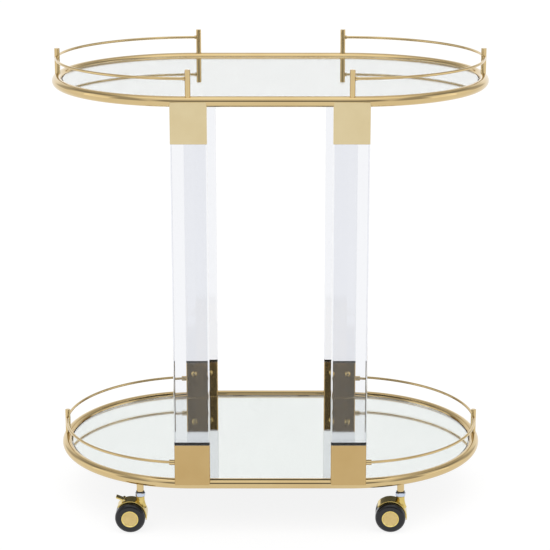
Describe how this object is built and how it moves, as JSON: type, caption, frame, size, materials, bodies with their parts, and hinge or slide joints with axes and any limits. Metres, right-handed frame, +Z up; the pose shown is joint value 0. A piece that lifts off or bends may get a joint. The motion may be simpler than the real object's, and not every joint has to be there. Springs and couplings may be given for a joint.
{
  "type": "bar cart",
  "caption": "Rolling bar cart: oval mirrored trays in gold-plated tube frames with gallery rails, joined by clear acrylic uprights, on swivel casters with brakes.",
  "frame": {"origin": "on the floor, under the middle of the trays", "axes": "+Z up, +X along the trays to the right, -Y to the front"},
  "size_m": [0.726, 0.4654, 0.7695],
  "materials": {
    "gold_plate": "polished brass-gold plating over steel",
    "mirror_glass": "back-silvered mirror glass",
    "clear_acrylic": "clear polished acrylic",
    "caster_brass": "bright brass plating",
    "wheel_nylon": "glossy black moulded nylon",
    "axle_steel": "ground steel",
    "zinc_plate": "bright zinc plating",
    "washer_plastic": "black plastic",
    "clear_rubber": "clear soft bumper",
    "screw_brass": "brass-plated screw"
  },
  "bodies": {
    "cart_frame": {"caster_bosses": "gold_plate", "caster_stems": "zinc_plate", "caster_washers": "washer_plastic", "front_left_upright": "clear_acrylic", "front_right_upright": "clear_acrylic", "lower_end_posts": "gold_plate", "lower_front_left_socket": "gold_plate", "lower_front_right_socket": "gold_plate", "lower_left_rail": "gold_plate", "lower_mirror": "mirror_glass", "lower_rail_ferrules": "gold_plate", "lower_rear_left_socket": "gold_plate", "lower_rear_right_socket": "gold_plate", "lower_right_rail": "gold_plate", "lower_tray_tube": "gold_plate", "rear_left_upright": "clear_acrylic", "rear_right_upright": "clear_acrylic", "shelf_bumpers": "clear_rubber", "shelf_tabs": "gold_plate", "socket_screws": "screw_brass", "upper_end_posts": "gold_plate", "upper_front_left_socket": "gold_plate", "upper_front_right_socket": "gold_plate", "upper_left_rail": "gold_plate", "upper_mirror": "mirror_glass", "upper_rail_collars": "gold_plate", "upper_rear_left_socket": "gold_plate", "upper_rear_right_socket": "gold_plate", "upper_right_rail": "gold_plate", "upper_side_posts": "gold_plate", "upper_tray_tube": "gold_plate"},
    "front_left_caster": {"front_left_caster_hood": "caster_brass", "front_left_caster_axle": "axle_steel", "front_left_brake_pin": "axle_steel"},
    "front_left_front_wheel": {"front_left_caster_front_wheel": "wheel_nylon", "front_left_caster_front_cap": "caster_brass"},
    "front_left_rear_wheel": {"front_left_caster_rear_wheel": "wheel_nylon", "front_left_caster_rear_cap": "caster_brass"},
    "front_left_brake": {"front_left_brake_lever": "caster_brass"},
    "front_right_caster": {"front_right_caster_hood": "caster_brass", "front_right_caster_axle": "axle_steel"},
    "front_right_front_wheel": {"front_right_caster_front_wheel": "wheel_nylon", "front_right_caster_front_cap": "caster_brass"},
    "front_right_rear_wheel": {"front_right_caster_rear_wheel": "wheel_nylon", "front_right_caster_rear_cap": "caster_brass"},
    "rear_left_caster": {"rear_left_caster_hood": "caster_brass", "rear_left_caster_axle": "axle_steel", "rear_left_brake_pin": "axle_steel"},
    "rear_left_front_wheel": {"rear_left_caster_front_wheel": "wheel_nylon", "rear_left_caster_front_cap": "caster_brass"},
    "rear_left_rear_wheel": {"rear_left_caster_rear_wheel": "wheel_nylon", "rear_left_caster_rear_cap": "caster_brass"},
    "rear_left_brake": {"rear_left_brake_lever": "caster_brass"},
    "rear_right_caster": {"rear_right_caster_hood": "caster_brass", "rear_right_caster_axle": "axle_steel"},
    "rear_right_front_wheel": {"rear_right_caster_front_wheel": "wheel_nylon", "rear_right_caster_front_cap": "caster_brass"},
    "rear_right_rear_wheel": {"rear_right_caster_rear_wheel": "wheel_nylon", "rear_right_caster_rear_cap": "caster_brass"}
  },
  "joints": [
    {"name": "front_left_swivel", "type": "hinge", "parent": "cart_frame", "child": "front_left_caster", "pos_m": [-0.215, -0.20745, 0.045], "axis": [0, 0, 1], "continuous": true},
    {"name": "front_left_front_wheel_spin", "type": "hinge", "parent": "front_left_caster", "child": "front_left_front_wheel", "pos_m": [-0.231, -0.20717, 0.025], "axis": [0.0175, 0.9998, 0], "continuous": true},
    {"name": "front_left_rear_wheel_spin", "type": "hinge", "parent": "front_left_caster", "child": "front_left_rear_wheel", "pos_m": [-0.231, -0.20717, 0.025], "axis": [0.0175, 0.9998, 0], "continuous": true},
    {"name": "front_left_brake_press", "type": "hinge", "parent": "front_left_caster", "child": "front_left_brake", "pos_m": [-0.24217, -0.20698, 0.05133], "axis": [-0.0175, -0.9998, 0], "range_deg": [0, 28]},
    {"name": "front_right_swivel", "type": "hinge", "parent": "cart_frame", "child": "front_right_caster", "pos_m": [0.215, -0.20745, 0.045], "axis": [0, 0, 1], "continuous": true},
    {"name": "front_right_front_wheel_spin", "type": "hinge", "parent": "front_right_caster", "child": "front_right_front_wheel", "pos_m": [0.19904, -0.20633, 0.025], "axis": [0.0698, 0.9976, 0], "continuous": true},
    {"name": "front_right_rear_wheel_spin", "type": "hinge", "parent": "front_right_caster", "child": "front_right_rear_wheel", "pos_m": [0.19904, -0.20633, 0.025], "axis": [0.0698, 0.9976, 0], "continuous": true},
    {"name": "rear_left_swivel", "type": "hinge", "parent": "cart_frame", "child": "rear_left_caster", "pos_m": [-0.215, 0.20745, 0.045], "axis": [0, 0, 1], "continuous": true},
    {"name": "rear_left_front_wheel_spin", "type": "hinge", "parent": "rear_left_caster", "child": "rear_left_front_wheel", "pos_m": [-0.23096, 0.20633, 0.025], "axis": [-0.0698, 0.9976, 0], "continuous": true},
    {"name": "rear_left_rear_wheel_spin", "type": "hinge", "parent": "rear_left_caster", "child": "rear_left_rear_wheel", "pos_m": [-0.23096, 0.20633, 0.025], "axis": [-0.0698, 0.9976, 0], "continuous": true},
    {"name": "rear_left_brake_press", "type": "hinge", "parent": "rear_left_caster", "child": "rear_left_brake", "pos_m": [-0.24211, 0.20555, 0.05133], "axis": [0.0698, -0.9976, 0], "range_deg": [0, 28]},
    {"name": "rear_right_swivel", "type": "hinge", "parent": "cart_frame", "child": "rear_right_caster", "pos_m": [0.215, 0.20745, 0.045], "axis": [0, 0, 1], "continuous": true},
    {"name": "rear_right_front_wheel_spin", "type": "hinge", "parent": "rear_right_caster", "child": "rear_right_front_wheel", "pos_m": [0.19912, 0.2055, 0.025], "axis": [-0.1219, 0.9925, 0], "continuous": true},
    {"name": "rear_right_rear_wheel_spin", "type": "hinge", "parent": "rear_right_caster", "child": "rear_right_rear_wheel", "pos_m": [0.19912, 0.2055, 0.025], "axis": [-0.1219, 0.9925, 0], "continuous": true}
  ]
}
